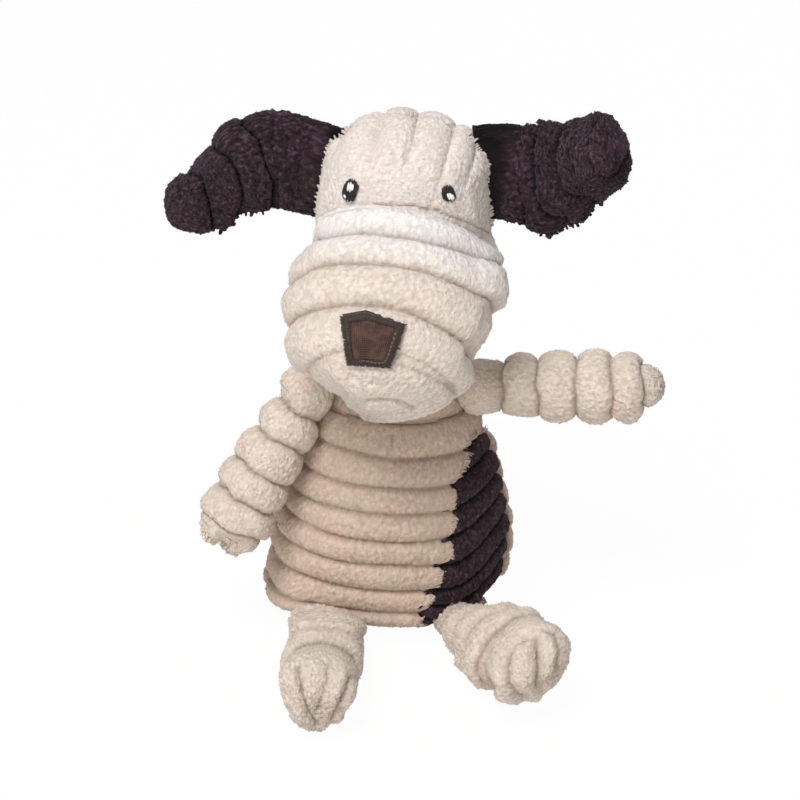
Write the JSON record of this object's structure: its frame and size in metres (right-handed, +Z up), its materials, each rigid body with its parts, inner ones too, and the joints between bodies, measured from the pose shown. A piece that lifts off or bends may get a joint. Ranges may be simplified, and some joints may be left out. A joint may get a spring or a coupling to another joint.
{
  "type": "squeaky dog toy",
  "caption": "Sitting stuffed dog toy for pets in wide-ribbed fleece, with floppy dark ears, a dark side patch, a broad muzzle, sewn limbs that swing and a squeaker in the belly.",
  "frame": {"origin": "on the floor, under the middle of the seat", "axes": "+Z up, the toy faces -Y, and its own left is +X"},
  "size_m": [0.1959, 0.1482, 0.2162],
  "materials": {
    "cream_corduroy": "wide-wale corduroy fleece, short pile",
    "white_corduroy": "wide-wale corduroy fleece, short pile",
    "aubergine_corduroy": "wide-wale corduroy fleece, short pile",
    "nose_cloth": "woven cloth",
    "brown_thread": "satin-stitched thread",
    "black_thread": "satin-stitched thread",
    "white_thread": "satin-stitched thread",
    "seam_thread": "sewing thread",
    "fibre_filling": "loose polyester fibre",
    "squeaker_plastic": "soft blow-moulded polythene",
    "reed_film": "thin stiff film"
  },
  "bodies": {
    "torso": {"body_front_panel": "cream_corduroy", "body_side_patch": "aubergine_corduroy", "body_back_panel": "cream_corduroy", "body_stuffing": "fibre_filling", "squeaker_bulb": "squeaker_plastic", "squeaker_plug": "squeaker_plastic", "squeaker_reed_clamp": "squeaker_plastic", "squeaker_reed": "reed_film"},
    "belly_pad": {"belly_stuffing": "fibre_filling"},
    "neck_seam": {"neck_seam_thread": "seam_thread"},
    "head": {"crown_panel": "white_corduroy", "head_back_panel": "white_corduroy", "muzzle_panel": "white_corduroy", "chin_panel": "white_corduroy", "head_stuffing": "fibre_filling", "nose_patch": "nose_cloth", "nose_stitching": "brown_thread", "eye_left": "black_thread", "eye_right": "black_thread", "eye_glint_left": "white_thread", "eye_glint_right": "white_thread"},
    "ear_left": {"ear_left_front_panel": "aubergine_corduroy", "ear_left_back_panel": "aubergine_corduroy", "ear_left_stuffing": "fibre_filling"},
    "ear_right": {"ear_right_front_panel": "aubergine_corduroy", "ear_right_back_panel": "aubergine_corduroy", "ear_right_stuffing": "fibre_filling"},
    "arm_left": {"arm_left_front_panel": "cream_corduroy", "arm_left_back_panel": "cream_corduroy", "arm_left_stuffing": "fibre_filling"},
    "arm_right": {"arm_right_front_panel": "cream_corduroy", "arm_right_back_panel": "cream_corduroy", "arm_right_stuffing": "fibre_filling"},
    "leg_left": {"leg_left_inner_panel": "cream_corduroy", "leg_left_outer_panel": "cream_corduroy", "leg_left_stuffing": "fibre_filling"},
    "leg_right": {"leg_right_inner_panel": "cream_corduroy", "leg_right_outer_panel": "cream_corduroy", "leg_right_stuffing": "fibre_filling"}
  },
  "joints": [
    {"name": "belly_squeeze", "type": "slide", "parent": "torso", "child": "belly_pad", "axis": [0, 1, 0], "range_m": [0, 0.01], "stiffness_N_per_m": 600, "deforming": ["body_front_panel", "squeaker_bulb"]},
    {"name": "head_turn", "type": "hinge", "parent": "torso", "child": "neck_seam", "pos_m": [0.005, 0, 0.117], "axis": [0, 0, 1], "range_deg": [-30, 30], "stiffness_Nm_per_rad": 0.5},
    {"name": "head_nod", "type": "hinge", "parent": "neck_seam", "child": "head", "pos_m": [0.005, 0, 0.117], "axis": [1, 0, 0], "range_deg": [-25, 12], "stiffness_Nm_per_rad": 0.8},
    {"name": "ear_left_flop", "type": "hinge", "parent": "head", "child": "ear_left", "pos_m": [0.04104, -0.0043, 0.18887], "axis": [-0.1605, 0.0191, 0.9869], "range_deg": [-25, 40], "stiffness_Nm_per_rad": 0.04},
    {"name": "ear_right_flop", "type": "hinge", "parent": "head", "child": "ear_right", "pos_m": [-0.0249, 0.00357, 0.1885], "axis": [0.252, -0.03, 0.9673], "range_deg": [-40, 40], "stiffness_Nm_per_rad": 0.04},
    {"name": "arm_left_raise", "type": "hinge", "parent": "torso", "child": "arm_left", "pos_m": [0.038, -0.005, 0.1], "axis": [0, -1, 0], "range_deg": [-45, 30], "stiffness_Nm_per_rad": 0.12},
    {"name": "arm_right_raise", "type": "hinge", "parent": "torso", "child": "arm_right", "pos_m": [-0.03, -0.011, 0.1], "axis": [0, 1, 0], "range_deg": [-4, 80], "stiffness_Nm_per_rad": 0.12},
    {"name": "leg_left_lift", "type": "hinge", "parent": "torso", "child": "leg_left", "pos_m": [0.027, -0.03, 0.0105], "axis": [-0.9062, -0.4229, 0], "range_deg": [-60, 9], "stiffness_Nm_per_rad": 0.15},
    {"name": "leg_right_lift", "type": "hinge", "parent": "torso", "child": "leg_right", "pos_m": [-0.024, -0.032, 0.0102], "axis": [-1, 0, 0], "range_deg": [-60, 35], "stiffness_Nm_per_rad": 0.15}
  ]
}
